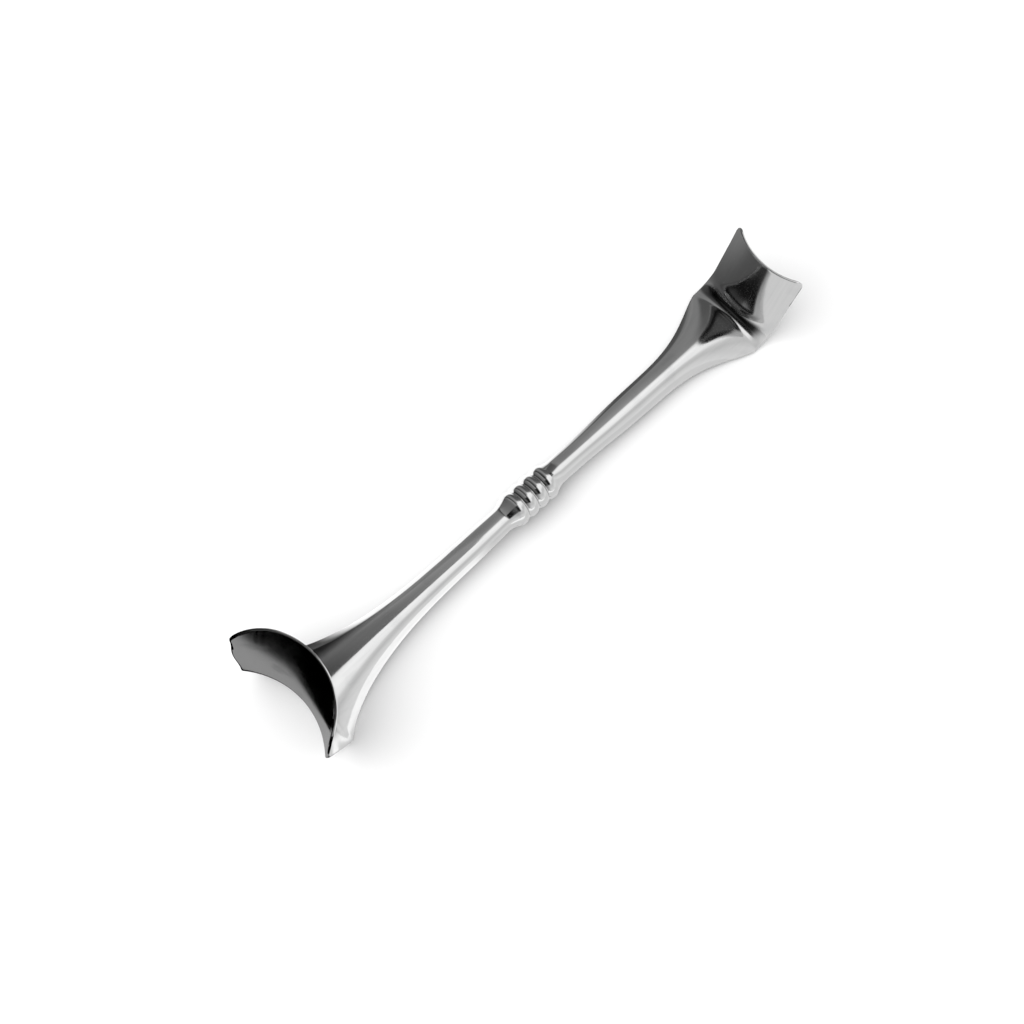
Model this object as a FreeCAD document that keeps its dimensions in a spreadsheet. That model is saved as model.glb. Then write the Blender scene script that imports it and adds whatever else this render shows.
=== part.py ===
import FreeCAD, Part
import Sketcher
import os

# A double-ended handheld retractor, forged in one piece and polished.
# It lies on its back with both blades standing up. The stem runs along X with the large blade
# at the -X end and the small blade at the +X end, and the table it lies on is the plane Z = 0.
# The origin is on the table, under the middle of the length. The grip is a little towards the
# small blade from there. Lengths are in millimetres, and each end is drawn along +X, measured
# from the middle of the grip.

# Each station of a stem is one cross-section: an arched face on top, a back underneath, and an
# edge on each side that joins them. Its sizes are
#   half    half the width across the two upper corners
#   lift    height of the upper corners above the table
#   rise    height of the arched face above its upper corners
#   depth   thickness on the middle line, from the face down to the back
#   lean    angle of the edges from the vertical

SIZES = {
    # grip
    "ring_pitch": 3.5,
    "ring_radius": 4.6,
    "groove_radius": 3.8,
    "collar_length": 2.8,
    "collar_taper": 3.4,
    "ring_clearance": 0.2,
    "grip_offset": 0.73,
    # stem beside the grip, round, and the low step up from it to the collar's taper
    "shaft_radius": 3.35,
    "shaft_step": 0.06,
    # wrist, just outside the collar's taper, the same at both ends
    "wrist_distance": 12.0,
    "wrist_half": 3.3,
    "wrist_lift": 4.2,
    "wrist_rise": 3.5,
    "wrist_depth": 6.2,
    "wrist_lean": 5.0,
    # sides of the stem and the blades
    "edge_thickness": 0.7,
    # large end, stem
    "large_shank_distance": 25.0,
    "large_shank_half": 3.6,
    "large_shank_lift": 3.0,
    "large_shank_rise": 3.9,
    "large_shank_depth": 5.4,
    "large_shank_lean": 10.0,
    "large_neck_setback": 31.3,
    "large_neck_half": 4.3,
    "large_neck_lift": 2.1,
    "large_neck_rise": 4.7,
    "large_neck_depth": 4.2,
    "large_neck_lean": 45.0,
    "large_flare_setback": 15.3,
    "large_flare_half": 7.1,
    "large_flare_lift": 1.6,
    "large_flare_rise": 5.5,
    "large_flare_depth": 3.0,
    "large_flare_lean": 70.0,
    "large_throat_setback": 5.3,
    "large_throat_half": 10.9,
    "large_throat_lift": 1.1,
    "large_throat_rise": 6.2,
    "large_throat_depth": 2.4,
    "large_throat_lean": 60.0,
    # large end, fold and blade
    "large_fold_distance": 73.3,
    "large_fold_radius": 1.4,
    "large_face_radius": 18.3,
    "large_base_half": 14.55,
    "large_base_depth": 2.2,
    "large_blade_height": 31.1,
    "large_tip_half": 16.6,
    "large_tip_depth": 0.6,
    "large_corner_radius": 7.5,
    # small end, stem
    "small_shank_distance": 25.0,
    "small_shank_half": 3.5,
    "small_shank_lift": 3.0,
    "small_shank_rise": 3.9,
    "small_shank_depth": 5.4,
    "small_shank_lean": 10.0,
    "small_neck_setback": 34.5,
    "small_neck_half": 4.1,
    "small_neck_lift": 2.2,
    "small_neck_rise": 4.4,
    "small_neck_depth": 4.2,
    "small_neck_lean": 45.0,
    "small_flare_setback": 18.5,
    "small_flare_half": 5.2,
    "small_flare_lift": 1.8,
    "small_flare_rise": 4.4,
    "small_flare_depth": 3.3,
    "small_flare_lean": 65.0,
    "small_throat_setback": 8.5,
    "small_throat_half": 8.1,
    "small_throat_lift": 1.3,
    "small_throat_rise": 4.6,
    "small_throat_depth": 2.4,
    "small_throat_lean": 50.0,
    # small end, fold and blade
    "small_fold_distance": 76.55,
    "small_fold_radius": 2.5,
    "small_face_radius": 17.7,
    "small_base_half": 11.25,
    "small_base_depth": 2.0,
    "small_blade_height": 22.8,
    "small_tip_half": 11.25,
    "small_tip_depth": 0.6,
    "small_corner_radius": 1.8,
}

GRIP_HEIGHT = "(Sizes.ring_radius + Sizes.ring_clearance)"
RING_COUNT = 4
STATIONS = ("shank", "neck", "flare", "throat")
SECTION_SIZES = ("half", "lift", "rise", "depth", "lean")
# lean of a section's edges where they stand upright, which isn't quite 0 because a sketch can't
# hold a distance of 0
UPRIGHT = "0.5"
# In a sketch's constraints: the parts of a line or an arc, the origin, and the two axes.
START, END, CENTRE = 1, 2, 3
ORIGIN = (-1, START)
LEVEL_AXIS, UPRIGHT_AXIS = -1, -2
# how far the tip's cut reaches past the blade
SPARE = 3.0
# The tip's arcs run past the blade's sides by this share of their radius, so that they cross the
# sides at a small angle instead of grazing them.
CROSSING = 0.01


def make_sheet(doc):
    """Put the driving sizes in a sheet, one named cell each."""
    sheet = doc.addObject("Spreadsheet::Sheet", "Sizes")
    for row, (name, value) in enumerate(SIZES.items(), start=1):
        sheet.set(f"A{row}", name.replace("_", " "))
        sheet.set(f"B{row}", str(value))
        sheet.setAlias(f"B{row}", name)
    doc.recompute()
    return sheet


def number(sketch, text):
    """The value of an expression on the sheet's cells."""
    return float(sketch.evalExpression(text))


def origin_plane(body, role):
    return next(feature for feature in body.Origin.OriginFeatures if feature.Role == role)


def add_sketch(body, name, role, offsets, turn=0.0):
    """A sketch on one of the body's own planes, with its origin moved by named sizes."""
    sketch = body.newObject("Sketcher::SketchObject", name)
    sketch.AttachmentSupport = [(origin_plane(body, role), "")]
    sketch.MapMode = "FlatFace"
    turned = FreeCAD.Rotation(FreeCAD.Vector(0, 0, 1), turn)
    sketch.AttachmentOffset = FreeCAD.Placement(FreeCAD.Vector(), turned)
    for axis, text in offsets.items():
        sketch.setExpression(f"AttachmentOffset.Base.{axis}", text)
    return sketch


def tie(sketch, kind, *where, size=None):
    """Add a constraint, and bind its value to the sheet where it has one."""
    if size is None:
        return sketch.addConstraint(Sketcher.Constraint(kind, *where))
    index = sketch.addConstraint(Sketcher.Constraint(kind, *where, number(sketch, size)))
    sketch.setExpression(f"Constraints[{index}]", size)
    return index


def draw_section(sketch, half, lift, rise, depth, lean):
    """Arched face, edge, back and edge as one closed outline, symmetrical about the upright axis."""
    inset = f"Sizes.edge_thickness * sin(1 deg * ({lean}))"
    drop = f"Sizes.edge_thickness * cos(1 deg * ({lean}))"
    hollow = f"(({rise}) + ({drop}) - ({depth}))"
    back_half = f"(({half}) - ({inset}))"
    back_lift = f"(({lift}) - ({drop}))"
    crest, back_crest = f"({lift}) + ({rise})", f"{back_lift} + {hollow}"
    face_spots = [at(sketch, spot) for spot in ((half, lift), ("0", crest), (f"-({half})", lift))]
    back_spots = [at(sketch, spot) for spot in ((back_half, back_lift), ("0", back_crest),
                                                (f"-{back_half}", back_lift))]
    hollowed = number(sketch, hollow) > 0
    face = sketch.addGeometry(Part.Arc(*face_spots))
    back = sketch.addGeometry(Part.Arc(*(back_spots if hollowed else back_spots[::-1])))
    right = sketch.addGeometry(Part.LineSegment(face_spots[0], back_spots[0]))
    left = sketch.addGeometry(Part.LineSegment(face_spots[-1], back_spots[-1]))
    back_right, back_left = (START, END) if hollowed else (END, START)
    tie(sketch, "Coincident", face, START, right, START)
    tie(sketch, "Coincident", face, END, left, START)
    tie(sketch, "Coincident", back, back_right, right, END)
    tie(sketch, "Coincident", back, back_left, left, END)
    tie(sketch, "Symmetric", face, START, face, END, UPRIGHT_AXIS)
    tie(sketch, "Symmetric", back, START, back, END, UPRIGHT_AXIS)
    tie(sketch, "DistanceX", *ORIGIN, face, START, size=half)
    tie(sketch, "DistanceY", *ORIGIN, face, START, size=lift)
    tie(sketch, "DistanceX", *ORIGIN, right, END, size=back_half)
    tie(sketch, "DistanceY", right, END, right, START, size=drop)
    face_centre = f"({lift}) + (({rise}) ^ 2 - ({half}) ^ 2) / (2 * ({rise}))"
    back_centre = f"{back_lift} + ({hollow} ^ 2 - {back_half} ^ 2) / (2 * {hollow})"
    tie(sketch, "DistanceY", *ORIGIN, face, CENTRE, size=face_centre)
    tie(sketch, "DistanceY", *ORIGIN, back, CENTRE, size=back_centre)


def at(sketch, spot):
    return FreeCAD.Vector(number(sketch, spot[0]), number(sketch, spot[1]), 0)


def add_arc(sketch, start, end, centre):
    """An arc between two spots about a centre, the short way, with each place tied to the sheet."""
    a, b, c = at(sketch, start), at(sketch, end), at(sketch, centre)
    middle = (a + b) * 0.5 - c
    middle.multiply((a - c).Length / middle.Length)
    forward = (a - c).cross(b - c).z > 0
    arc = sketch.addGeometry(Part.Arc(*((a, c + middle, b) if forward else (b, c + middle, a))))
    first, last = ((arc, START), (arc, END)) if forward else ((arc, END), (arc, START))
    tie(sketch, "DistanceX", *ORIGIN, *first, size=start[0])
    tie(sketch, "DistanceY", *ORIGIN, *first, size=start[1])
    tie(sketch, "DistanceY", *ORIGIN, arc, CENTRE, size=centre[1])
    return first, last


def arc_rise(radius, half):
    return f"({radius} - sqrt({radius} ^ 2 - ({half}) ^ 2))"


def add_loft(body, name, sections, ruled):
    loft = body.newObject("PartDesign::AdditiveLoft", name)
    loft.Profile = sections[0]
    loft.Sections = sections[1:]
    loft.Ruled = ruled
    return loft


def draw_tip_trim(sketch, base, tip, height, radius, top):
    """What the rounded tip leaves out of the blade: a frame round two arcs and the tip edge."""
    slant = f"atan(({tip} - {base}) / {height})"
    centre = f"({tip} - {radius} * ((1 + sin({slant})) / cos({slant}) - {CROSSING}))"
    out = f"({centre} + {radius} * cos({slant}))"
    foot = f"({top} - {radius} * (1 + sin({slant})))"
    beyond, above = f"({tip} + {SPARE})", f"({top} + {SPARE})"
    right = [(centre, top), (out, foot), (beyond, foot), (beyond, above)]
    left = [(f"-{across}", up) for across, up in right]
    arc_centre = (centre, f"({top} - {radius})")
    right_arc = add_arc(sketch, right[0], right[1], arc_centre)
    left_arc = add_arc(sketch, left[0], left[1], (f"-{centre}", arc_centre[1]))
    spots = [at(sketch, spot) for spot in (*right[1:], *left[:0:-1])]
    lines = [sketch.addGeometry(Part.LineSegment(a, b)) for a, b in zip(spots, spots[1:])]
    edge = sketch.addGeometry(Part.LineSegment(at(sketch, left[0]), at(sketch, right[0])))
    for before, after in zip(lines, lines[1:]):
        tie(sketch, "Coincident", before, END, after, START)
    tie(sketch, "Coincident", *right_arc[1], lines[0], START)
    tie(sketch, "Coincident", *left_arc[1], lines[-1], END)
    tie(sketch, "Coincident", *left_arc[0], edge, START)
    tie(sketch, "Coincident", *right_arc[0], edge, END)
    for line, spot in zip(lines, (*right[1:], *left[:1:-1])):
        tie(sketch, "DistanceX", *ORIGIN, line, START, size=spot[0])
        tie(sketch, "DistanceY", *ORIGIN, line, START, size=spot[1])
    tie(sketch, "DistanceX", *ORIGIN, lines[-1], END, size=left[1][0])
    tie(sketch, "DistanceY", *ORIGIN, lines[-1], END, size=left[1][1])


def make_end(doc, end):
    """One end, pointing along +X from the middle of the grip: stem, flare, fold and blade."""

    def size(name):
        return f"Sizes.{end}_{name}"

    body = doc.addObject("PartDesign::Body", f"{end}_end")

    # The stem starts inside the rings as a round bar. Its edges are short chords of the circle.
    root = add_sketch(body, f"{end}_root_section", "YZ_Plane", {"z": "Sizes.ring_pitch"})
    half_edge = "Sizes.edge_thickness / 2"
    draw_section(root, half=f"sqrt(Sizes.shaft_radius ^ 2 - ({half_edge}) ^ 2)",
                 lift=f"{GRIP_HEIGHT} + {half_edge}", rise=f"Sizes.shaft_radius - {half_edge}",
                 depth="2 * Sizes.shaft_radius", lean=UPRIGHT)
    wrist = add_sketch(body, f"{end}_wrist_section", "YZ_Plane", {"z": "Sizes.wrist_distance"})
    draw_section(wrist, *(f"Sizes.wrist_{what}" for what in SECTION_SIZES))
    sections = [root, wrist]
    for station in STATIONS:
        distance = (size("shank_distance") if station == "shank"
                    else f"{size('fold_distance')} - {size(station + '_setback')}")
        sketch = add_sketch(body, f"{end}_{station}_section", "YZ_Plane", {"z": distance})
        draw_section(sketch, *(size(f"{station}_{what}") for what in SECTION_SIZES))
        sections.append(sketch)

    # The fold turns about a line across the instrument. Its height lets the flare's lower corners
    # just touch the table.
    base_rise = arc_rise(size("face_radius"), size("base_half"))
    base_lean = f"asin({size('base_half')} / {size('face_radius')}) / (1 deg)"
    reach = f"({size('fold_radius')} + {base_rise})"
    axis_height = f"({reach} + Sizes.edge_thickness * cos(1 deg * ({base_lean})))"
    base = dict(half=size("base_half"), lift=f"-{reach}", rise=base_rise,
                depth=size("base_depth"), lean=base_lean)
    fold_section = add_sketch(body, f"{end}_fold_section", "YZ_Plane",
                              {"y": axis_height, "z": size("fold_distance")})
    draw_section(fold_section, **base)
    add_loft(body, f"{end}_stem", sections + [fold_section], ruled=False)

    fold = body.newObject("PartDesign::Revolution", f"{end}_fold")
    fold.Profile = fold_section
    fold.ReferenceAxis = (fold_section, ["H_Axis"])
    fold.Angle = 90.0
    fold.Reversed = True

    blade_foot = {"x": size("fold_distance"), "z": axis_height}
    blade_top = f"({axis_height} + {size('blade_height')})"
    foot_section = add_sketch(body, f"{end}_blade_foot", "XY_Plane", blade_foot, turn=90.0)
    draw_section(foot_section, **base)
    tip_rise = arc_rise(size("face_radius"), size("tip_half"))
    tip_lean = f"asin({size('tip_half')} / {size('face_radius')}) / (1 deg)"
    tip_section = add_sketch(body, f"{end}_blade_tip", "XY_Plane",
                             {"x": size("fold_distance"), "z": blade_top}, turn=90.0)
    draw_section(tip_section, half=size("tip_half"), lift=f"-({size('fold_radius')} + {tip_rise})",
                 rise=tip_rise, depth=size("tip_depth"), lean=tip_lean)
    add_loft(body, f"{end}_blade", [foot_section, tip_section], ruled=True)
    doc.recompute()

    trim = add_sketch(body, f"{end}_tip_outline", "YZ_Plane", {"z": size("fold_distance")})
    draw_tip_trim(trim, size("base_half"), size("tip_half"), size("blade_height"),
                  size("corner_radius"), blade_top)
    cut = body.newObject("PartDesign::Pocket", f"{end}_tip_cut")
    cut.Profile = trim
    cut.Type = "ThroughAll"
    cut.Reversed = True
    body.Tip = cut
    doc.recompute()
    return body


def make_grip(doc):
    """Rings turned about the stem's axis, with a collar at each side that tapers into the stem."""
    body = doc.addObject("PartDesign::Body", "grip")
    sketch = add_sketch(body, "grip_profile", "XZ_Plane", {"y": GRIP_HEIGHT})
    crown = "(Sizes.ring_radius - Sizes.groove_radius)"
    ring_arc = f"((Sizes.ring_pitch / 2) ^ 2 + {crown} ^ 2) / (2 * {crown})"
    ring_centre = f"(Sizes.ring_radius - {ring_arc})"
    past_crown = "(Sizes.collar_length - Sizes.ring_pitch / 2)"
    shoulder = f"({ring_centre} + sqrt(({ring_arc}) ^ 2 - {past_crown} ^ 2))"
    last_groove = f"({RING_COUNT / 2 - 1} * Sizes.ring_pitch)"
    collar_end = f"({last_groove} + Sizes.collar_length)"
    taper_end = f"({collar_end} + Sizes.collar_taper)"
    taper_foot = "(Sizes.shaft_radius + Sizes.shaft_step)"
    fall = f"({shoulder} - {taper_foot})"
    taper_arc = f"((Sizes.collar_taper ^ 2 + {fall} ^ 2) / (2 * {fall}))"

    grooves = [(f"({ring} * Sizes.ring_pitch - {last_groove})", "Sizes.groove_radius")
               for ring in range(RING_COUNT - 1)]
    spots = ([(f"-{taper_end}", taper_foot), (f"-{collar_end}", shoulder)] + grooves
             + [(collar_end, shoulder), (taper_end, taper_foot)])
    ring_places = [f"(({ring + 0.5}) * Sizes.ring_pitch - {last_groove})"
                   for ring in range(-1, RING_COUNT - 1)]
    taper_centre = f"({taper_foot} + {taper_arc})"
    centres = ([(f"-{taper_end}", taper_centre)] + [(place, ring_centre) for place in ring_places]
               + [(taper_end, taper_centre)])

    arcs = [add_arc(sketch, start, end, centre)
            for start, end, centre in zip(spots, spots[1:], centres)]
    foot = [(spots[-1][0], "0"), (spots[0][0], "0")]
    corners = [at(sketch, spot) for spot in (spots[-1], *foot, spots[0])]
    lines = [sketch.addGeometry(Part.LineSegment(a, b)) for a, b in zip(corners, corners[1:])]
    for (_, arc_end), (next_arc, _) in zip(arcs, arcs[1:]):
        tie(sketch, "Coincident", *arc_end, *next_arc)
    tie(sketch, "Coincident", *arcs[-1][1], lines[0], START)
    tie(sketch, "DistanceX", *ORIGIN, lines[0], START, size=taper_end)
    tie(sketch, "DistanceY", *ORIGIN, lines[0], START, size=taper_foot)
    tie(sketch, "Coincident", lines[0], END, lines[1], START)
    tie(sketch, "Coincident", lines[1], END, lines[2], START)
    tie(sketch, "Coincident", lines[2], END, *arcs[0][0])
    tie(sketch, "Vertical", lines[0])
    tie(sketch, "Vertical", lines[2])
    tie(sketch, "PointOnObject", lines[1], START, LEVEL_AXIS)
    tie(sketch, "PointOnObject", lines[1], END, LEVEL_AXIS)
    grip = body.newObject("PartDesign::Revolution", "rings")
    grip.Profile = sketch
    grip.ReferenceAxis = (sketch, ["H_Axis"])
    grip.Angle = 360.0
    return body


def check(doc, parts):
    """Stop before anything is written if a feature failed or a solid isn't whole."""
    failed = [obj.Name for obj in doc.Objects if {"Invalid", "Error"} & set(obj.State)]
    if failed:
        raise RuntimeError(f"features that failed: {failed}")
    for part in parts:
        if part.Shape.isNull() or not part.Shape.isValid() or len(part.Shape.Solids) != 1:
            raise RuntimeError(f"{part.Label} isn't one valid solid")


def main():
    doc = FreeCAD.newDocument("retractor")
    make_sheet(doc)
    large, grip, small = make_end(doc, "large"), make_grip(doc), make_end(doc, "small")
    about_turn = FreeCAD.Rotation(FreeCAD.Vector(0, 0, 1), 180)
    large.Placement = FreeCAD.Placement(FreeCAD.Vector(), about_turn)
    for body in (large, grip, small):
        body.setExpression("Placement.Base.x", "Sizes.grip_offset")
    forging = doc.addObject("Part::MultiFuse", "forging")
    forging.Shapes = [large, grip, small]
    forging.Label = "retractor"
    doc.recompute()
    check(doc, [forging])
    os.makedirs("parts", exist_ok=True)
    forging.Shape.exportStep(f"parts/{forging.Label}.step")


main()
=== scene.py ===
import math
from collections import namedtuple

import bmesh
import bpy
from mathutils import Matrix, Vector


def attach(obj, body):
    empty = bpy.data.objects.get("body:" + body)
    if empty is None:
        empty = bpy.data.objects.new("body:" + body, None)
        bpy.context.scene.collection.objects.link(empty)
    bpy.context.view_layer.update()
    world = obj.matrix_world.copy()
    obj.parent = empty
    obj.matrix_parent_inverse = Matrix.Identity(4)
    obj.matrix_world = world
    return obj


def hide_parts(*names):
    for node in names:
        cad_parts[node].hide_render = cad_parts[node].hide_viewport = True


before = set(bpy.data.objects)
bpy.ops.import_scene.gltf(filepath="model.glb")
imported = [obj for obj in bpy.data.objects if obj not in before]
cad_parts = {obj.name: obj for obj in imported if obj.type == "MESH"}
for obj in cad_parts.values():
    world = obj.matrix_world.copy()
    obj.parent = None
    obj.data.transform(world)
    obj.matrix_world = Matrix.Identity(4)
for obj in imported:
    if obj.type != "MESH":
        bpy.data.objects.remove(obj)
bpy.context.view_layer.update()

# The retractor lies on its back with both blades standing up. Its stem runs along X, and the table
# is at Z = 0. Its lengths are in millimetres until the shape is finished. Each end is drawn along
# +X from the middle of the grip.
MM = 0.001

# grip
GRIP_OFFSET = 0.73
RING_PITCH = 3.5
RING_RADIUS = 4.6
GROOVE_RADIUS = 3.8
COLLAR_LENGTH = 2.8
COLLAR_TAPER = 3.4
GRIP_HEIGHT = 4.8
COLLAR_END = RING_PITCH + COLLAR_LENGTH
TAPER_END = COLLAR_END + COLLAR_TAPER
# stem beside the grip, and the low step up from it to the collar's taper
SHAFT_RADIUS = 3.35
SHAFT_STEP = 0.06
# rims of the stem and the blades
EDGE_THICKNESS = 0.7
RIM_ROUNDING = 0.22
GROOVE_ROUNDING = 0.16
ROUNDING_STEPS = 3
# how closely the cut at a fold keeps to its rims
FOLD_CUT_POWER = 6
# how finely the shape is drawn
ARC_STEPS = 56
RING_STEPS = 18
COLLAR_STEPS = 14
TAPER_STEPS = 10
STEM_STEPS = 96
FOLD_STEPS = 16
BLADE_STEPS = 30
CORNER_STEPS = 15

# One cross-section of a stem: its distance from the middle of the grip, half the width across its
# upper corners, their height over the table, the rise of the arched face above them, the thickness
# on the middle line, and the lean of its edges in degrees.
Station = namedtuple("Station", "distance half lift rise depth lean")
HALF_EDGE = EDGE_THICKNESS / 2
ROOT = Station(RING_PITCH, math.sqrt(SHAFT_RADIUS ** 2 - HALF_EDGE ** 2), GRIP_HEIGHT + HALF_EDGE,
               SHAFT_RADIUS - HALF_EDGE, 2 * SHAFT_RADIUS, 0.5)
WRIST = Station(12.0, 3.3, 4.2, 3.5, 6.2, 5.0)

End = namedtuple("End", "side stations fold_distance fold_radius face_radius base_half base_depth "
                        "blade_height tip_half tip_depth corner_radius belly fold_cut")
LARGE = End(side=-1, stations=(Station(25.0, 3.6, 3.0, 3.9, 5.4, 10.0),
                               Station(42.0, 4.3, 2.1, 4.7, 4.2, 45.0),
                               Station(58.0, 7.1, 1.6, 5.5, 3.0, 70.0),
                               Station(68.0, 10.9, 1.1, 6.2, 2.4, 60.0)),
            fold_distance=73.3, fold_radius=1.4, face_radius=18.3, base_half=14.55, base_depth=2.2,
            blade_height=31.1, tip_half=16.6, tip_depth=0.6, corner_radius=7.5, belly=0.4,
            fold_cut=1.8)
SMALL = End(side=1, stations=(Station(25.0, 3.5, 3.0, 3.9, 5.4, 10.0),
                              Station(42.05, 4.1, 2.2, 4.4, 4.2, 45.0),
                              Station(58.05, 5.2, 1.8, 4.4, 3.3, 65.0),
                              Station(68.05, 8.1, 1.3, 4.6, 2.4, 50.0)),
            fold_distance=76.55, fold_radius=2.5, face_radius=17.7, base_half=11.25, base_depth=2.0,
            blade_height=22.8, tip_half=11.25, tip_depth=0.6, corner_radius=1.8, belly=0.0,
            fold_cut=0.0)

# the photograph's camera
PHOTO_SIZE = 1024
FOCAL_PIXELS = 1692.4
SENSOR_WIDTH = 36.0
VIEW_AZIMUTH = math.radians(22.53)
VIEW_DROP = math.radians(66.79)
VIEW_ROLL = math.radians(23.65)
VIEW_DISTANCE = 422.4 * MM
VIEW_TARGET = Vector((-3.49, 0.55, 0.0)) * MM

# Many of the values below are fades. Each gives where a fade starts and ends, and then the levels
# that it goes from and to, unless those come from other fades.
# steel: fine and broad marks and smudges, as so many to the metre, and the height of the marks in mm
BLADE_START = (75.5, 76.5)
MARKS_LENGTHWISE = 40
FINE_MARKS = 5200
FINE_DETAIL = 3.0
BROAD_MARKS = 900
BROAD_DETAIL = 2.0
MARK_BREAKUP = 0.6
SMUDGES = 160.0
SMUDGE_DETAIL = 3.0
SMUDGE_EDGE = (0.52, 0.72)
POLISH = 0.05
MARK_ROUGHNESS = 0.06
SMUDGE_ROUGHNESS = 0.05
MARK_HEIGHT = 0.015
MARK_STRENGTH = 0.35
FINE_SHARE = 0.6
STEEL_DARK = (0.585, 0.587, 0.59, 1)
STEEL_PALE = (0.667, 0.667, 0.665, 1)
BROAD_TONE = 0.10
SMUDGE_TONE = 0.03
TONE_RANGE = (-0.03, 0.09)
# painted shade inside each fold: a dark line in a softer band, at a turn in degrees that falls with
# each millimetre from the middle
CREASE_TURN = 50.5
CREASE_FALL = 0.7
CREASE_LINE = (6.0, 12.0, 1.0, 0.0)
CREASE_SHADE = (12.0, 30.0, 0.8, 0.0)
CREASE_DEPTH = (0.5, 1.1, 1.0, 0.0)
CREASE_ENDS = (0.6, 0.9, 1.0, 0.0)
# colour of the painted shade in the folds
CREASE_SHADE_COLOUR = (0.02, 0.02, 0.02, 1)
CREASE_SHARE = 0.97
CREASE_ROUGHNESS = 0.15

# studio, in metres: a brightness of 1 is that of white paper
STUDIO_SIZE = 4.0
SKY_SUBDIVISIONS = 5
FLOOR_WHITE = 0.9
FLOOR_ROUGHNESS = 0.9
WORLD_STRENGTH = 0.74
KEY_SPOT = Vector((-0.85, 0.45, 1.0))
KEY_SIZE = 1.6
KEY_POWER = 23.0
STEEL_ON_FLOOR = 0.25
# sky screen: its brightness from the instrument's right side over the top to its left
HALF_TURN = 180
SKY_PEAK = 1.35
SKY_STOPS = ((0.0, 0.73), (0.083, 0.67), (0.156, 0.55), (0.222, 0.61), (0.278, 0.89), (0.43, 1.0),
             (0.478, 0.92), (0.525, 0.33), (0.62, 0.27), (0.75, 0.22), (0.889, 0.20), (1.0, 0.25))
# its fades by how far a direction points along +X
SKY_SHIFT = (0.28, 0.48, 0.0, 13.0)
SKY_RIGHT_REAR = (-1.0, -0.25, 0.2, 1.0)
SKY_LEFT_MIDDLE = (0.05, 0.28, 0.25, 1.0)
SKY_LEFT_AHEAD = (0.50, 0.60, 1.0, 0.40)
SKY_BEHIND = 0.012
SKY_BEHIND_RISE = (-0.40, -0.62, 0.0, 0.12)
SKY_BEHIND_EDGE = (-0.20, -0.30)
SKY_SEAM_START = (-0.1, 0.2, -54, -4)
SKY_SEAM_END = (-0.1, 0.2, -44, 25)
# its fades by how far a direction points up, and by the turn round the instrument in degrees
SKY_BEHIND_TOP = (0.45, 0.62)
SKY_BEHIND_LEAN = (20, 65, 0.17, 0.0)
# table screen, in millimetres: a plain right half, and a left half that is lit beyond a slanting line
TABLE_EDGE = -76.0
TABLE_SEAM = (-1.5, 1.5)
TABLE_RIGHT = 0.88
PATCH_START = (-72, -62)
PATCH_END = (-14, -24)
PATCH_LEAN = 0.3
PATCH_LEVEL = 0.52
UNLIT = (-75, -50, 0.02, 0.13)
LIT_CORNER = (-62, 8)
LIT_SLOPE = 1.5
LIT_EDGE = (-4, 18)
LIT_LEVEL = 1.48
GRIP_START = (12, 42)
GRIP_LEVEL = 0.11
SMALL_END_START = (55, 72)
SMALL_END_SIDE = (10, 34, 0.10, 0.26)
# dark card to the left of the large end, paler towards the small end, in millimetres
CARD_START = (-70.0, 12.0)
CARD_END = (-8.0, 105.0)
CARD_HEIGHT = 50.0
CARD_FRONT = ((-70.0, 1.0), (-8.0, -7.0))
CARD_LEAN = 0.55
CARD_MIDDLE = (-42, -10, 0.01, 0.2)
CARD_FAR_END = (-10, 25, 0.0, 0.18)
# dark floor in front of the table's edge, with a grey oval on it, in millimetres
STEP_DOWN = 30.0
OVAL_MIDDLE = (-80.4, -5.1)
OVAL_TURN = math.radians(143)
OVAL_HALF_LENGTH = 19.0
OVAL_HALF_WIDTH = 8.5
OVAL_EDGE = (0.97, 1.03)
OVAL_LEVEL = 0.36


def arc(half, rise):
    """An arch of spots from +half across to -half, or a trough where the rise is negative."""
    reach = 2 * math.atan2(rise, half)
    radius = half / math.sin(reach)
    turns = [reach * (1 - 2 * step / ARC_STEPS) for step in range(ARC_STEPS + 1)]
    return [(radius * math.sin(turn), radius * (math.cos(turn) - math.cos(reach))) for turn in turns]


def arch_rise(radius, half):
    return radius - math.sqrt(radius ** 2 - half ** 2)


def outline(station):
    """A cross-section's loop: over the arched face, then back along the underside."""
    lean = math.radians(station.lean)
    drop = EDGE_THICKNESS * math.cos(lean)
    back_half = station.half - EDGE_THICKNESS * math.sin(lean)
    hollow = station.rise + drop - station.depth
    face = [Vector((station.distance, across, station.lift + up))
            for across, up in arc(station.half, station.rise)]
    back = [Vector((station.distance, across, station.lift - drop + up))
            for across, up in arc(back_half, hollow)]
    return face + back[::-1]


def fold_height(end):
    """Height of the line that the fold turns about, with the flare's corners on the table."""
    lean = math.asin(end.base_half / end.face_radius)
    reach = end.fold_radius + arch_rise(end.face_radius, end.base_half)
    return reach + EDGE_THICKNESS * math.cos(lean)


def fold_station(end):
    rise = arch_rise(end.face_radius, end.base_half)
    lift = fold_height(end) - end.fold_radius - rise
    lean = math.degrees(math.asin(end.base_half / end.face_radius))
    return Station(end.fold_distance, end.base_half, lift, rise, end.base_depth, lean)


def grip_radius(distance):
    """Radius of the rings and collars at a distance from the middle of the grip."""
    crown = RING_RADIUS - GROOVE_RADIUS
    ring_arc = ((RING_PITCH / 2) ** 2 + crown ** 2) / (2 * crown)
    if distance <= COLLAR_END:
        crest = RING_PITCH / 2 if distance <= RING_PITCH else RING_PITCH * 3 / 2
        return RING_RADIUS - arch_rise(ring_arc, distance - crest)
    foot = SHAFT_RADIUS + SHAFT_STEP
    fall = grip_radius(COLLAR_END) - foot
    taper_arc = (COLLAR_TAPER ** 2 + fall ** 2) / (2 * fall)
    return foot + arch_rise(taper_arc, max(TAPER_END - distance, 0))


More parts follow.
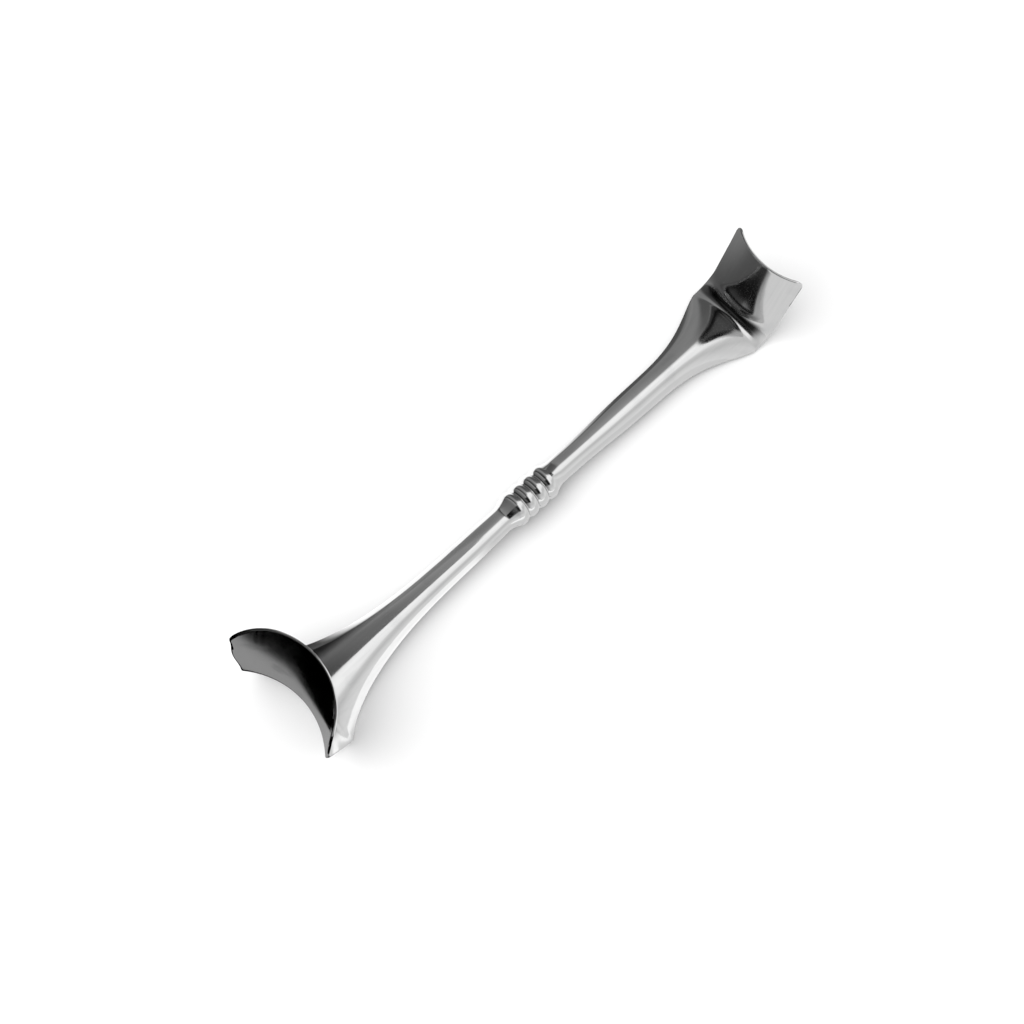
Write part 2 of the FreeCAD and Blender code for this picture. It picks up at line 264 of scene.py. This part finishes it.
def from_axis(spot):
    return Vector((0, spot.y, spot.z - GRIP_HEIGHT)).normalized()


def on_ring(spot, distance):
    """The spot on a ring or collar that lies outwards of a spot of the stem."""
    return Vector((distance, 0, GRIP_HEIGHT)) + from_axis(spot) * grip_radius(distance)


class Stem:
    """The smooth surface through an end's stations."""

    def __init__(self, end):
        self.loops = [outline(station) for station in (ROOT, WRIST, *end.stations, fold_station(end))]
        steps = [math.sqrt(sum((b - a).length_squared for a, b in zip(loop, ahead)))
                 for loop, ahead in zip(self.loops, self.loops[1:])]
        self.shares = [sum(steps[:count]) / sum(steps) for count in range(len(self.loops))]

    def share_at(self, distance):
        """How far along the stem a distance near the grip comes."""
        return self.shares[1] * (distance - ROOT.distance) / (WRIST.distance - ROOT.distance)

    def loop(self, share):
        weights = [math.prod((share - other) / (own - other) for other in self.shares if other != own)
                   for own in self.shares]
        return [sum((weight * spot for weight, spot in zip(weights, spots)), Vector())
                for spots in zip(*self.loops)]

    def taper_loop(self, distance):
        """The collar's taper, round at the collar and the stem's own shape at its foot."""
        part = (distance - COLLAR_END) / COLLAR_TAPER
        stem_share = part * part * (3 - 2 * part)
        extra = grip_radius(distance) - SHAFT_RADIUS - SHAFT_STEP
        return [on_ring(spot, distance).lerp(spot + from_axis(spot) * extra, stem_share)
                for spot in self.loop(self.share_at(distance))]


def fold_loop(end, turn):
    """The flare's last cross-section, turned up about the fold's line. Its rims cut the corner."""
    height = fold_height(end)
    spots = []
    for spot in outline(fold_station(end)):
        rim_share = (abs(spot.y) / end.base_half) ** FOLD_CUT_POWER
        reach = (height - spot.z) - end.fold_cut * rim_share * math.sin(2 * turn) ** 2
        spots.append(Vector((end.fold_distance + reach * math.sin(turn), spot.y,
                             height - reach * math.cos(turn))))
    return spots


def tip_outline(end):
    """The tip seen along the stem: a round corner, a straight edge and a round corner."""
    top = fold_height(end) + end.blade_height
    slant = math.atan2(end.tip_half - end.base_half, end.blade_height)
    middle = end.tip_half - end.corner_radius * (1 + math.sin(slant)) / math.cos(slant)
    turns = [-slant + (math.pi / 2 + slant) * step / CORNER_STEPS for step in range(CORNER_STEPS)]
    corner = [(middle + end.corner_radius * math.cos(turn),
               top - end.corner_radius * (1 - math.sin(turn))) for turn in turns]
    edge_steps = ARC_STEPS - 2 * CORNER_STEPS
    edge = [(middle * (1 - 2 * step / edge_steps), top) for step in range(edge_steps + 1)]
    return corner + edge + [(-across, up) for across, up in corner[::-1]]


def blade_back(end, across, up):
    """Distance of the blade's concave outer face from the fold's line."""
    share = up / end.blade_height
    half = end.base_half + (end.tip_half - end.base_half) * share
    lean = math.asin(half / end.face_radius)
    depth = end.base_depth + (end.tip_depth - end.base_depth) * share
    hollow = arch_rise(end.face_radius, half) + EDGE_THICKNESS * math.cos(lean) - depth
    back_half = half - EDGE_THICKNESS * math.sin(lean)
    radius = (back_half ** 2 + hollow ** 2) / (2 * hollow)
    return end.fold_radius + depth + arch_rise(radius, across)


def blade_loop(end, share):
    """The blade's cross-section part of the way up, curved more and more like the tip's outline."""
    height = fold_height(end)
    foot = fold_loop(end, math.pi / 2)
    inset = 1 - EDGE_THICKNESS / end.face_radius
    belly = end.belly * math.sin(math.pi * share) ** 2
    face, back = [], []
    for step, (tip_across, tip_up) in enumerate(tip_outline(end)):
        up = share * (tip_up - height)
        bulge = belly * (1 - 2 * step / ARC_STEPS)
        across = foot[step].y * (1 - share) + tip_across * share + bulge
        ahead = end.fold_distance + end.fold_radius + arch_rise(end.face_radius, across)
        face.append(Vector((ahead, across, height + up)))
        across = foot[-1 - step].y * (1 - share) + (tip_across * share + bulge) * inset
        back.append(Vector((end.fold_distance + blade_back(end, across, up), across, height + up)))
    return face + back[::-1]


def end_loops(end):
    """All the cross-sections of one end, from the middle of the grip to the tip."""
    stem = Stem(end)
    loops = [[on_ring(spot, RING_PITCH * step / RING_STEPS) for spot in stem.loops[0]]
             for step in range(1, RING_STEPS + 1)]
    loops += [[on_ring(spot, RING_PITCH + COLLAR_LENGTH * step / COLLAR_STEPS)
               for spot in stem.loops[0]] for step in range(1, COLLAR_STEPS + 1)]
    loops += [stem.taper_loop(COLLAR_END + COLLAR_TAPER * step / TAPER_STEPS)
              for step in range(1, TAPER_STEPS + 1)]
    start = stem.share_at(TAPER_END)
    loops += [stem.loop(start + (1 - start) * step / STEM_STEPS) for step in range(1, STEM_STEPS + 1)]
    loops += [fold_loop(end, math.pi / 2 * step / FOLD_STEPS) for step in range(1, FOLD_STEPS + 1)]
    loops += [blade_loop(end, step / BLADE_STEPS) for step in range(1, BLADE_STEPS + 1)]
    return loops


def place(verts, spots, side):
    for vert, spot in zip(verts, spots):
        vert.co = Vector((GRIP_OFFSET + side * spot.x, spot.y, spot.z)) * MM


def edges_between(build, verts):
    return [build.edges.get(pair) for pair in zip(verts, verts[1:])]


def draw_end(build, first, end):
    """Draw the metal out from the middle groove to a tip. Returns the edges along its rims."""
    corners = (0, ARC_STEPS, ARC_STEPS + 1, 2 * ARC_STEPS + 1)
    rims = []
    loop = first
    for spots in end_loops(end):
        around = edges_between(build, loop + loop[:1])
        made = set(bmesh.ops.extrude_edge_only(build, edges=around)["geom"])
        ahead = [next(edge.other_vert(vert) for edge in vert.link_edges
                      if edge.other_vert(vert) in made) for vert in loop]
        place(ahead, spots, end.side)
        rims += [build.edges.get((loop[corner], ahead[corner])) for corner in corners]
        loop = ahead
    face = edges_between(build, loop[:ARC_STEPS + 1])
    back = edges_between(build, loop[ARC_STEPS + 1:])
    bmesh.ops.bridge_loops(build, edges=face + back)
    return rims + face + back


def round_edges(build, edges, width):
    bmesh.ops.bevel(build, geom=edges, offset=width * MM, segments=ROUNDING_STEPS, profile=0.5,
                    affect="EDGES", material=-1)


def make_retractor():
    mesh = bpy.data.meshes.new("forging")
    build = bmesh.new()
    bmesh.ops.create_circle(build, segments=2 * ARC_STEPS + 2)
    first = list(build.verts)
    place(first, [on_ring(spot, 0) for spot in outline(ROOT)], 1)
    round_edges(build, draw_end(build, first, LARGE) + draw_end(build, first, SMALL), RIM_ROUNDING)
    grooves = [(GRIP_OFFSET + RING_PITCH * groove) * MM for groove in (-1, 0, 1)]
    close = GROOVE_ROUNDING * MM / 2
    in_groove = [edge for edge in build.edges
                 if any(all(abs(vert.co.x - groove) < close for vert in edge.verts)
                        for groove in grooves)]
    round_edges(build, in_groove, GROOVE_ROUNDING)
    bmesh.ops.recalc_face_normals(build, faces=build.faces)
    for face in build.faces:
        face.smooth = True
    build.to_mesh(mesh)
    build.free()
    piece = bpy.data.objects.new("forging", mesh)
    bpy.context.scene.collection.objects.link(piece)
    evened = piece.modifiers.new("evened_normals", "WEIGHTED_NORMAL")
    evened.mode = "FACE_AREA"
    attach(piece, "root")
    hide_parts("retractor")
    return piece


def add_camera():
    """Stand the camera where the photograph was taken from."""
    forward = Vector((math.cos(VIEW_DROP) * math.cos(VIEW_AZIMUTH),
                      math.cos(VIEW_DROP) * math.sin(VIEW_AZIMUTH),
                      -math.sin(VIEW_DROP)))
    level_right = forward.cross(Vector((0, 0, 1))).normalized()
    level_up = level_right.cross(forward)
    right = math.cos(VIEW_ROLL) * level_right + math.sin(VIEW_ROLL) * level_up
    up = -math.sin(VIEW_ROLL) * level_right + math.cos(VIEW_ROLL) * level_up
    data = bpy.data.cameras.new("camera")
    data.sensor_width = SENSOR_WIDTH
    data.lens = FOCAL_PIXELS / PHOTO_SIZE * SENSOR_WIDTH
    data.clip_start = 1 * MM
    camera = bpy.data.objects.new("camera", data)
    turned = Matrix((right, up, -forward)).transposed()
    camera.matrix_world = Matrix.Translation(VIEW_TARGET - forward * VIEW_DISTANCE) @ turned.to_4x4()
    bpy.context.scene.collection.objects.link(camera)
    bpy.context.scene.camera = camera


class Value:
    """A number, colour or direction that varies over a surface: one socket of a material's nodes."""

    def __init__(self, nodes, socket):
        self.nodes = nodes
        self.socket = socket

    def math(self, operation, first, second=0.0):
        return self.nodes.add("ShaderNodeMath", {"operation": operation}, {0: first, 1: second})

    def __add__(self, other):
        return self.math("ADD", self, other)

    __radd__ = __add__

    def __sub__(self, other):
        return self.math("SUBTRACT", self, other)

    def __rsub__(self, other):
        return self.math("SUBTRACT", other, self)

    def __mul__(self, other):
        return self.math("MULTIPLY", self, other)

    __rmul__ = __mul__

    def __pow__(self, other):
        return self.math("POWER", self, other)

    def __abs__(self):
        return self.math("ABSOLUTE", self)


class Nodes:
    """The nodes of one material. Its x, y and z are a spot's place in millimetres."""

    def __init__(self, name):
        self.material = bpy.data.materials.new(name)
        self.material.use_nodes = True
        self.tree = self.material.node_tree
        self.shader = self.tree.nodes["Principled BSDF"]
        self.spot = self.add("ShaderNodeTexCoord", output="Object")
        self.x, self.y, self.z = [part * (1 / MM) for part in self.parts(self.spot)]

    def add(self, kind, settings=None, inputs=None, output=0):
        """Add a node with its settings, then fill or link its sockets."""
        node = self.tree.nodes.new(kind)
        for name, setting in (settings or {}).items():
            if name == "stops":
                self.set_stops(node.color_ramp, setting)
            else:
                setattr(node, name, setting)
        self.fill(node, inputs or {})
        return Value(self, node.outputs[output])

    def set_stops(self, ramp, stops):
        while len(ramp.elements) < len(stops):
            ramp.elements.new(1.0)
        for element, (position, level) in zip(ramp.elements, stops):
            element.position = position
            element.color = (level, level, level, 1)

    def fill(self, node, inputs):
        for name, value in inputs.items():
            if isinstance(value, Value):
                self.tree.links.new(value.socket, node.inputs[name])
            else:
                node.inputs[name].default_value = value

    def parts(self, vector):
        split = self.add("ShaderNodeSeparateXYZ", inputs={0: vector}).socket.node
        return [Value(self, socket) for socket in split.outputs]

    def fade(self, value, start, end, low=0.0, high=1.0):
        """Turn smoothly from low to high as a value goes from start to end."""
        return self.add("ShaderNodeMapRange", {"interpolation_type": "SMOOTHSTEP"},
                        {"Value": value, "From Min": start, "From Max": end,
                         "To Min": low, "To Max": high})

    def turn(self, across, up):
        """The angle in degrees from straight up towards across."""
        angle = self.add("ShaderNodeMath", {"operation": "ARCTAN2"}, {0: across, 1: up})
        return angle * math.degrees(1)

    def mix(self, share, first, second):
        """Turn one colour into another as the share goes from 0 to 1."""
        return self.add("ShaderNodeMix", {"data_type": "RGBA"},
                        {"Factor": share, 6: first, 7: second}, output=2)

    def glow(self, brightness):
        """Make a screen shine in the steel, and only a little on the floor by way of the steel."""
        from_floor = self.add("ShaderNodeLightPath", output="Diffuse Depth")
        light = brightness * self.fade(from_floor, 0.0, 1.0, 1.0, STEEL_ON_FLOOR)
        self.fill(self.shader, {"Base Color": (0, 0, 0, 1), "Specular IOR Level": 0.0,
                                "Emission Color": light, "Emission Strength": 1.0})


def stage_piece(name, build, paint, is_screen=True):
    """A floor or a studio screen. A screen shows only in the steel, the floor in all but the steel."""
    mesh = bpy.data.meshes.new(name)
    build.to_mesh(mesh)
    build.free()
    piece = bpy.data.objects.new(name, mesh)
    bpy.context.scene.collection.objects.link(piece)
    mesh.materials.append(paint.material)
    piece.visible_glossy = is_screen
    if is_screen:
        piece.visible_camera = False
        piece.visible_diffuse = False
        piece.visible_shadow = False
        piece.visible_transmission = False
        paint.material.cycles.emission_sampling = "NONE"


def add_floor():
    paint = Nodes("pale_floor")
    paint.fill(paint.shader, {"Base Color": (FLOOR_WHITE, FLOOR_WHITE, FLOOR_WHITE, 1),
                              "Roughness": FLOOR_ROUGHNESS, "Specular IOR Level": 0.0})
    build = bmesh.new()
    bmesh.ops.create_grid(build, x_segments=1, y_segments=1, size=STUDIO_SIZE)
    stage_piece("floor", build, paint, is_screen=False)


def add_sky_screen():
    """The soft screens round the instrument: bright to its right, dim to its left, dark behind."""
    paint = Nodes("sky_screen")
    direction = paint.add("ShaderNodeVectorMath", {"operation": "NORMALIZE"}, {0: paint.spot})
    ahead, _, high = paint.parts(direction)
    roll = paint.turn(paint.y, paint.z)
    shifted = roll - paint.fade(ahead, *SKY_SHIFT)
    level = paint.add("ShaderNodeValToRGB", {"stops": SKY_STOPS}, {0: shifted * (1 / HALF_TURN) + 0.5})
    front = level * SKY_PEAK
    right = front * paint.fade(ahead, *SKY_RIGHT_REAR)
    left = front * paint.fade(ahead, *SKY_LEFT_MIDDLE) * paint.fade(ahead, *SKY_LEFT_AHEAD)
    behind = SKY_BEHIND + paint.fade(ahead, *SKY_BEHIND_RISE) * paint.fade(high, *SKY_BEHIND_TOP)
    leant = ahead - paint.fade(roll, *SKY_BEHIND_LEAN)
    left = paint.fade(leant, *SKY_BEHIND_EDGE, left, behind)
    seam_start = paint.fade(ahead, *SKY_SEAM_START)
    seam_end = paint.fade(ahead, *SKY_SEAM_END)
    paint.glow(paint.fade(roll, seam_start, seam_end, right, left))
    build = bmesh.new()
    bmesh.ops.create_icosphere(build, subdivisions=SKY_SUBDIVISIONS, radius=STUDIO_SIZE / 2)
    bmesh.ops.reverse_faces(build, faces=build.faces)
    stage_piece("sky_screen", build, paint)


def add_table_screen():
    """The table as the polished steel shows it, as far as its edge in front of the large blade."""
    paint = Nodes("table_screen")
    x, y = paint.x, paint.y
    patch = paint.fade(x, *PATCH_START) * paint.fade(x + PATCH_LEAN * y, *PATCH_END)
    right = TABLE_RIGHT + patch * PATCH_LEVEL
    past_line = LIT_CORNER[1] + (x - LIT_CORNER[0]) * LIT_SLOPE - y
    left = paint.fade(past_line, *LIT_EDGE, paint.fade(x, *UNLIT), LIT_LEVEL)
    left = paint.fade(x, *GRIP_START, left, GRIP_LEVEL)
    left = paint.fade(x, *SMALL_END_START, left, paint.fade(y, *SMALL_END_SIDE))
    paint.glow(paint.fade(y, *TABLE_SEAM, right, left))
    build = bmesh.new()
    bmesh.ops.create_grid(build, x_segments=1, y_segments=1, size=STUDIO_SIZE)
    edge = [vert for vert in build.verts if vert.co.x < 0]
    bmesh.ops.translate(build, verts=edge, vec=(STUDIO_SIZE + TABLE_EDGE * MM, 0, 0))
    stage_piece("table_screen", build, paint)


def add_left_flag():
    """A dark card standing to the left of the large end, bent over the top of its stem."""
    paint = Nodes("left_flag")
    along = paint.x + CARD_LEAN * paint.z
    paint.glow(paint.fade(along, *CARD_MIDDLE) + paint.fade(along, *CARD_FAR_END))
    build = bmesh.new()
    low = [build.verts.new(Vector((*corner, 0)) * MM) for corner in (CARD_START, CARD_END)]
    high = [build.verts.new(Vector((*corner, CARD_HEIGHT)) * MM) for corner in (CARD_END, CARD_START)]
    build.faces.new(low + high)
    front = [build.verts.new(Vector((*corner, CARD_HEIGHT)) * MM) for corner in CARD_FRONT]
    build.faces.new(high + front)
    stage_piece("left_flag", build, paint)


def add_front_screen():
    """The dark floor that the hollow face of the large blade shows, below the table's edge."""
    paint = Nodes("front_screen")
    ahead = paint.x - OVAL_MIDDLE[0]
    aside = paint.y - OVAL_MIDDLE[1]
    cosine = math.cos(OVAL_TURN)
    sine = math.sin(OVAL_TURN)
    along = (ahead * cosine + aside * sine) * (1 / OVAL_HALF_LENGTH)
    across = (aside * cosine - ahead * sine) * (1 / OVAL_HALF_WIDTH)
    reach = (along * along + across * across) ** 0.5
    paint.glow(paint.fade(reach, *OVAL_EDGE, OVAL_LEVEL, 0.0))
    build = bmesh.new()
    bmesh.ops.create_grid(build, x_segments=1, y_segments=1, size=STUDIO_SIZE)
    bmesh.ops.translate(build, verts=build.verts, vec=(0, 0, -STEP_DOWN * MM))
    stage_piece("front_screen", build, paint)


def add_key_light():
    """A soft square light high up on the large end's left, which the steel doesn't show."""
    data = bpy.data.lights.new("key", "AREA")
    data.size = KEY_SIZE
    data.energy = KEY_POWER
    light = bpy.data.objects.new("key", data)
    aimed = KEY_SPOT.to_track_quat("Z", "Y").to_matrix().to_4x4()
    light.matrix_world = Matrix.Translation(KEY_SPOT) @ aimed
    bpy.context.scene.collection.objects.link(light)
    light.visible_glossy = False


def set_world():
    world = bpy.data.worlds.new("studio")
    bpy.context.scene.world = world
    world.use_nodes = True
    world.cycles_visibility.glossy = False
    back = world.node_tree.nodes["Background"]
    back.inputs["Color"].default_value = (1, 1, 1, 1)
    back.inputs["Strength"].default_value = WORLD_STRENGTH


def painted_crease_shade(paint, end):
    """How much painted shade an end's fold gets: a dark line in a softer band, where the steel is also
    rougher.
    """
    ahead = (paint.x - GRIP_OFFSET) * end.side - end.fold_distance
    down = fold_height(end) - paint.z
    across = abs(paint.y)
    from_line = abs(paint.turn(ahead, down) - (CREASE_TURN - across * CREASE_FALL))
    line = paint.fade(from_line, *CREASE_LINE)
    shade = paint.fade(from_line, *CREASE_SHADE)
    reach = (ahead * ahead + down * down) ** 0.5
    behind_face = reach - end.fold_radius - across * across * (0.5 / end.face_radius)
    on_face = paint.fade(behind_face, *CREASE_DEPTH)
    within = paint.fade(across * (1 / end.base_half), *CREASE_ENDS)
    return (line + shade - line * shade) * on_face * within


def grinding_marks(paint, fineness, detail):
    """Lines that lie along the stem, and upwards on the blades."""
    scales = ((MARKS_LENGTHWISE, fineness, fineness), (fineness, fineness, MARKS_LENGTHWISE))
    stretched = [paint.add("ShaderNodeMapping", inputs={"Vector": paint.spot, "Scale": scale})
                 for scale in scales]
    along_stem, up_blade = [
        paint.add("ShaderNodeTexNoise", inputs={"Vector": vector, "Scale": 1.0, "Detail": detail,
                                                "Roughness": MARK_BREAKUP}) for vector in stretched]
    on_blade = paint.fade(abs(paint.x), *BLADE_START)
    return paint.fade(on_blade, 0.0, 1.0, along_stem, up_blade)


def polished_steel():
    """Steel with very fine polishing marks, along the stem and up the blades."""
    paint = Nodes("polished_steel")
    fine = grinding_marks(paint, FINE_MARKS, FINE_DETAIL)
    broad = grinding_marks(paint, BROAD_MARKS, BROAD_DETAIL)
    cloud = paint.add("ShaderNodeTexNoise", inputs={
        "Vector": paint.spot, "Scale": SMUDGES, "Detail": SMUDGE_DETAIL})
    smudge = paint.fade(cloud, *SMUDGE_EDGE)
    # painted shade: a dark line and a softer band along the inside of each fold, which darken the
    # steel's colour and make it rougher
    painted_shade = painted_crease_shade(paint, LARGE) + painted_crease_shade(paint, SMALL)
    tone = broad * BROAD_TONE - smudge * SMUDGE_TONE
    metal = paint.mix(paint.fade(tone, *TONE_RANGE), STEEL_DARK, STEEL_PALE)
    metal = paint.mix(painted_shade * CREASE_SHARE, metal, CREASE_SHADE_COLOUR)
    rough = POLISH + (fine + broad) * MARK_ROUGHNESS + smudge * SMUDGE_ROUGHNESS
    rough = rough + painted_shade * CREASE_ROUGHNESS
    height = fine * FINE_SHARE + broad * (1 - FINE_SHARE)
    bump = paint.add("ShaderNodeBump", inputs={
        "Strength": MARK_STRENGTH, "Distance": MARK_HEIGHT * MM, "Height": height})
    paint.fill(paint.shader, {"Base Color": metal, "Metallic": 1.0, "Roughness": rough, "Normal": bump})
    return paint.material


add_camera()
retractor = make_retractor()
retractor.data.materials.append(polished_steel())
add_floor()
add_sky_screen()
add_table_screen()
add_left_flag()
add_front_screen()
set_world()
add_key_light()
bpy.context.scene.view_settings.view_transform = "Standard"
